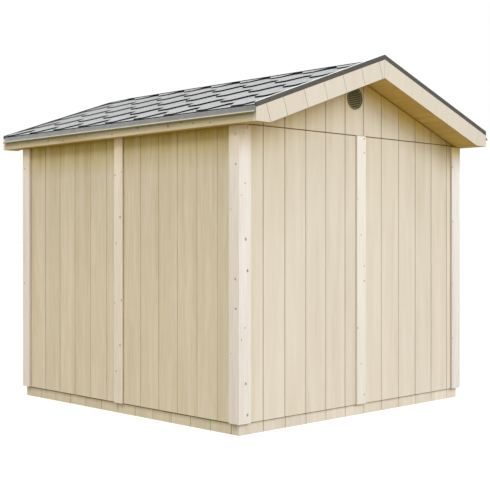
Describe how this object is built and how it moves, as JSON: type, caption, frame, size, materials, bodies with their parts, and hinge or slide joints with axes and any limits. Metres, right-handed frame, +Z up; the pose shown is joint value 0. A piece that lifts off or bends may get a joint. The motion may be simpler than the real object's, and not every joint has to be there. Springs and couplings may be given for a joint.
{
  "type": "wooden garden shed",
  "caption": "Gabled wooden garden shed of vertical tongue-and-groove boards with pale corner boards and cover strips, boxed eaves, shingle roof and round gable vents; stands on base timbers.",
  "frame": {"origin": "centre of the footprint, on the ground", "axes": "+Z up, +Y along the ridge towards the door gable, +X across the gables"},
  "size_m": [2.542, 2.952, 2.5388],
  "materials": {
    "wall_boards": "planed untreated softwood, matt",
    "trim_boards": "planed pale softwood with small knots, matt",
    "roof_boards": "planed softwood, matt",
    "barge_boards": "planed softwood, matt",
    "base_timber": "planed softwood, matt",
    "shingles": "grey mineral-surfaced bitumen, matt",
    "drip_sheet": "grey coated sheet, satin",
    "verge_sheet": "dark grey coated sheet, matt",
    "vent_grille": "dark grey moulded plastic, matt",
    "door_hardware": "black coated steel, satin"
  },
  "bodies": {
    "root": {"left_wall_rear_panel": "wall_boards", "left_wall_front_panel": "wall_boards", "right_wall_rear_panel": "wall_boards", "right_wall_front_panel": "wall_boards", "rear_wall_left_panel": "wall_boards", "rear_wall_right_panel": "wall_boards", "front_wall_left_panel": "wall_boards", "front_wall_right_panel": "wall_boards", "front_wall_door_head": "wall_boards", "rear_gable_panel": "wall_boards", "front_gable_panel": "wall_boards", "door_leaf": "wall_boards", "rear_left_corner_boards": "trim_boards", "rear_right_corner_boards": "trim_boards", "front_left_corner_boards": "trim_boards", "front_right_corner_boards": "trim_boards", "left_wall_cover_strip": "trim_boards", "right_wall_cover_strip": "trim_boards", "rear_wall_cover_strip": "trim_boards", "door_side_trims": "trim_boards", "door_head_trim": "trim_boards", "left_roof_boards": "roof_boards", "right_roof_boards": "roof_boards", "left_eave_fascia": "roof_boards", "right_eave_fascia": "roof_boards", "left_eave_soffit": "roof_boards", "right_eave_soffit": "roof_boards", "rear_gable_soffit": "roof_boards", "front_gable_soffit": "roof_boards", "rear_barge_boards": "barge_boards", "front_barge_boards": "barge_boards", "side_base_beams": "base_timber", "gable_base_beams": "base_timber", "floor_joists": "base_timber", "floor_boards": "base_timber", "left_shingles": "shingles", "right_shingles": "shingles", "left_drip_edge": "drip_sheet", "right_drip_edge": "drip_sheet", "rear_verge_trims": "verge_sheet", "front_verge_trims": "verge_sheet", "rear_vent": "vent_grille", "front_vent": "vent_grille", "door_hinges": "door_hardware", "door_handle": "door_hardware"}
  },
  "joints": []
}
